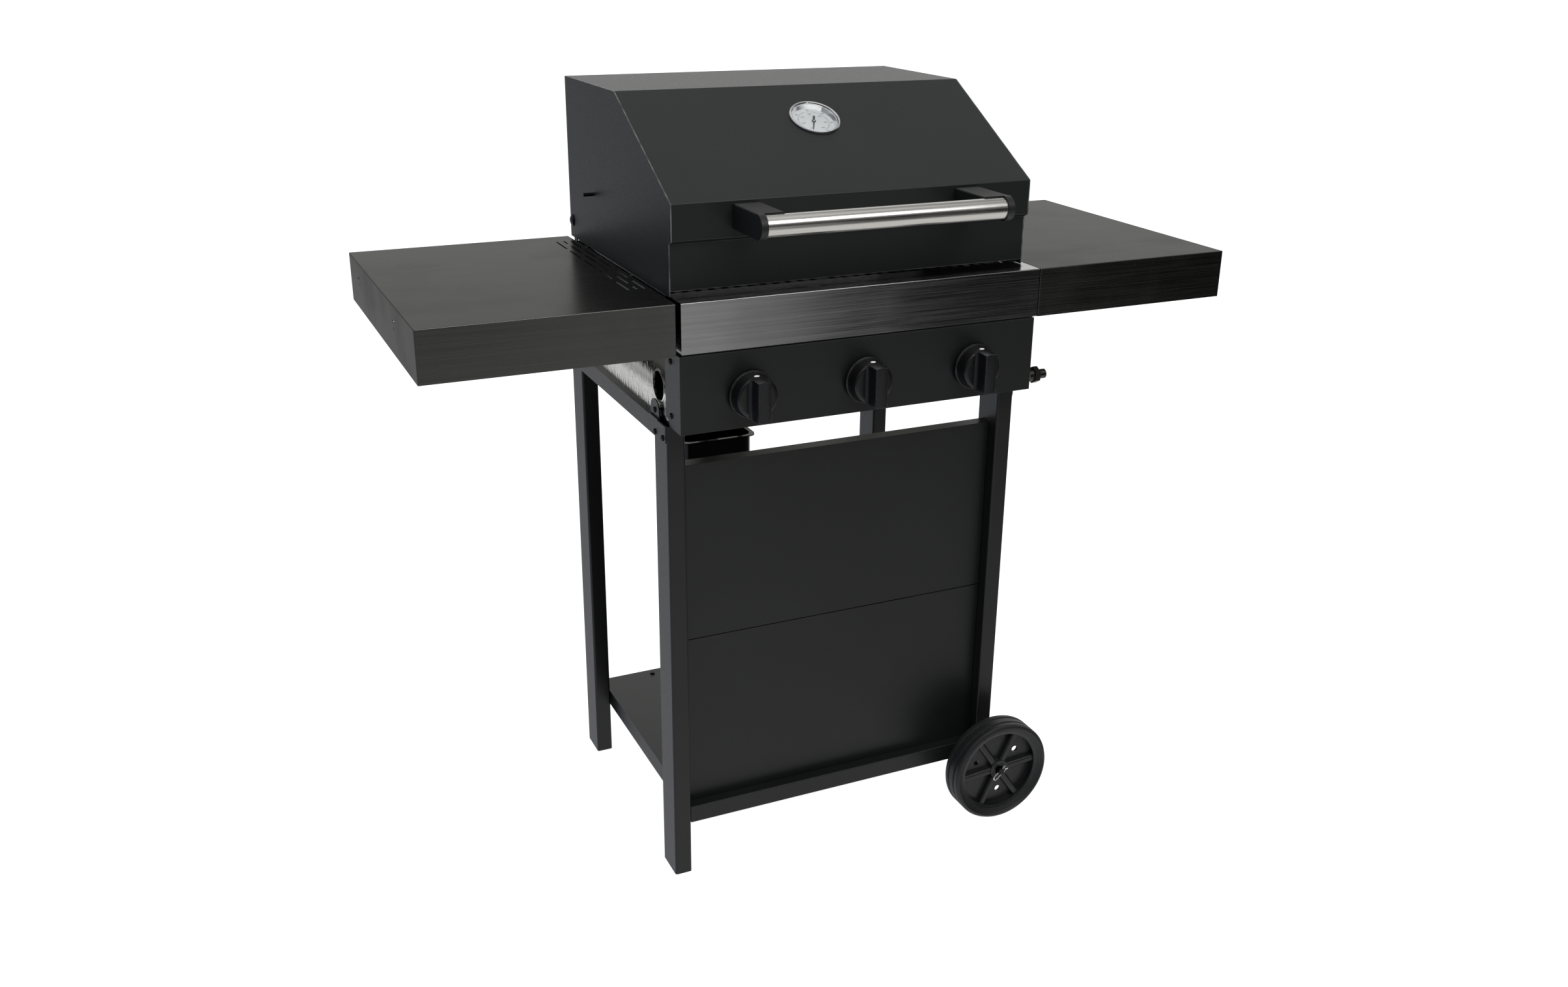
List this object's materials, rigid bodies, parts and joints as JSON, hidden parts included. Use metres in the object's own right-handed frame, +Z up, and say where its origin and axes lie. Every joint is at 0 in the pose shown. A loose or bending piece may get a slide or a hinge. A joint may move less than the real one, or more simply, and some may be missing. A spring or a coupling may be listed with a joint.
{
  "type": "gas barbecue grill",
  "caption": "Cart gas barbecue with a sloping sheet hood, side shelves, control knobs, closed front and a wheeled leg frame.",
  "frame": {"origin": "on the floor, in the middle of the overall box from side to side and from front to back", "axes": "+X to the right of someone facing the knobs, +Y from the front to the back, +Z up"},
  "size_m": [1.1572, 0.586, 1.0851],
  "materials": {
    "powder_coat": "fine-textured satin powder coat",
    "plug_plastic": "moulded matt",
    "tyre_rubber": "matt moulded rubber",
    "wheel_plastic": "moulded satin",
    "zinc_steel": "bright zinc plate",
    "aluminised_sheet": "aluminised, spangled and slightly wrinkled",
    "stainless": "plain stainless",
    "cast_iron": "matt enamelled casting",
    "ceramic_white": "glazed ceramic",
    "black_enamel": "gloss enamel",
    "gas_pipe": "plain drawn tube",
    "valve_alloy": "as die cast",
    "inlet_brass": "dark nickel plate",
    "knob_plastic": "satin moulded",
    "black_screw": "black zinc plate",
    "black_stainless": "black stainless with a horizontal brushed grain",
    "shelf_steel": "satin black stainless",
    "handle_steel": "brushed stainless",
    "handle_plastic": "matt moulded",
    "chrome_wire": "bright plated wire",
    "bezel_chrome": "polished",
    "dial_white": "printed white enamel",
    "pointer_black": "matt",
    "gauge_glass": "clear"
  },
  "bodies": {
    "cart": {"axle_clips": "zinc_steel", "axle_spacers": "zinc_steel", "bottom_shelf": "powder_coat", "burner_tubes": "stainless", "control_panel": "powder_coat", "control_panel_brackets": "powder_coat", "fascia": "black_stainless", "firebox_back_wall": "aluminised_sheet", "firebox_floor": "aluminised_sheet", "firebox_front_wall": "aluminised_sheet", "firebox_ledges": "aluminised_sheet", "firebox_left_wall": "aluminised_sheet", "firebox_right_wall": "aluminised_sheet", "flame_tamers": "stainless", "front_left_leg": "powder_coat", "front_panel_lower": "powder_coat", "front_panel_upper": "powder_coat", "front_right_leg": "powder_coat", "gas_inlet": "inlet_brass", "gas_manifold": "gas_pipe", "gas_valves": "valve_alloy", "hood_hinge_bolts": "black_screw", "hood_hinge_brackets": "powder_coat", "ignition_electrodes": "ceramic_white", "leg_end_plugs": "plug_plastic", "pan_head_screws": "black_screw", "rear_left_leg": "powder_coat", "rear_right_leg": "powder_coat", "side_rail_left": "powder_coat", "side_rail_right": "powder_coat", "side_shelf_brackets": "powder_coat", "side_shelf_left": "shelf_steel", "side_shelf_right": "shelf_steel", "tray_hangers": "powder_coat", "wheel_axle": "zinc_steel"},
    "hood": {"hood_shell": "powder_coat", "hood_side_left": "powder_coat", "hood_side_right": "powder_coat", "handle_tube": "handle_steel", "handle_brackets": "handle_plastic", "handle_screws": "black_screw", "rack_pins": "stainless", "thermometer_case": "bezel_chrome", "thermometer_dial": "dial_white", "thermometer_glass": "gauge_glass"},
    "thermometer_needle": {"thermometer_pointer": "pointer_black"},
    "warming_rack": {"warming_rack": "chrome_wire"},
    "stem_left": {"valve_stem_left": "zinc_steel"},
    "knob_left": {"knob_left": "knob_plastic"},
    "stem_middle": {"valve_stem_middle": "zinc_steel"},
    "knob_middle": {"knob_middle": "knob_plastic"},
    "stem_right": {"valve_stem_right": "zinc_steel"},
    "knob_right": {"knob_right": "knob_plastic"},
    "front_wheel": {"front_wheel_tyre": "tyre_rubber", "front_wheel_rim": "wheel_plastic"},
    "rear_wheel": {"rear_wheel_tyre": "tyre_rubber", "rear_wheel_rim": "wheel_plastic"},
    "grease_tray": {"grease_tray": "black_enamel"},
    "cooking_grate_left": {"cooking_grate_left": "cast_iron"},
    "cooking_grate_right": {"cooking_grate_right": "cast_iron"}
  },
  "joints": [
    {"name": "hood_hinge", "type": "hinge", "parent": "cart", "child": "hood", "pos_m": [0, 0.212, 0.8814], "axis": [-1, 0, 0], "range_deg": [0, 85]},
    {"name": "warming_rack_swing", "type": "hinge", "parent": "hood", "child": "warming_rack", "pos_m": [0, 0.106, 0.936], "axis": [1, 0, 0], "range_deg": [-5, 90]},
    {"name": "thermometer_needle_turn", "type": "hinge", "parent": "hood", "child": "thermometer_needle", "pos_m": [0, -0.0652, 1.04797], "axis": [0, 0.482, -0.8762], "range_deg": [0, 300]},
    {"name": "front_wheel_spin", "type": "hinge", "parent": "cart", "child": "front_wheel", "pos_m": [0.249, -0.232, 0.08], "axis": [0, 1, 0], "continuous": true},
    {"name": "rear_wheel_spin", "type": "hinge", "parent": "cart", "child": "rear_wheel", "pos_m": [0.249, 0.274, 0.08], "axis": [0, 1, 0], "continuous": true},
    {"name": "grease_tray_slide", "type": "slide", "parent": "cart", "child": "grease_tray", "axis": [0, 1, 0], "range_m": [0, 0.11]},
    {"name": "cooking_grate_left_lift", "type": "slide", "parent": "cart", "child": "cooking_grate_left", "axis": [0, 0, 1], "range_m": [0, 0.02]},
    {"name": "cooking_grate_right_lift", "type": "slide", "parent": "cart", "child": "cooking_grate_right", "axis": [0, 0, 1], "range_m": [0, 0.02]},
    {"name": "knob_left_push", "type": "slide", "parent": "cart", "child": "stem_left", "axis": [0, 1, 0], "range_m": [0, 0.004], "stiffness_N_per_m": 1200},
    {"name": "knob_left_turn", "type": "hinge", "parent": "stem_left", "child": "knob_left", "pos_m": [-0.1646, -0.249, 0.733], "axis": [0, -1, 0], "range_deg": [0, 200]},
    {"name": "knob_middle_push", "type": "slide", "parent": "cart", "child": "stem_middle", "axis": [0, 1, 0], "range_m": [0, 0.004], "stiffness_N_per_m": 1200},
    {"name": "knob_middle_turn", "type": "hinge", "parent": "stem_middle", "child": "knob_middle", "pos_m": [0, -0.249, 0.733], "axis": [0, -1, 0], "range_deg": [0, 200]},
    {"name": "knob_right_push", "type": "slide", "parent": "cart", "child": "stem_right", "axis": [0, 1, 0], "range_m": [0, 0.004], "stiffness_N_per_m": 1200},
    {"name": "knob_right_turn", "type": "hinge", "parent": "stem_right", "child": "knob_right", "pos_m": [0.1646, -0.249, 0.733], "axis": [0, -1, 0], "range_deg": [0, 200]}
  ],
  "couplings": [
    {"joint": "warming_rack_swing", "follows": "hood_hinge", "ratio": 1}
  ]
}
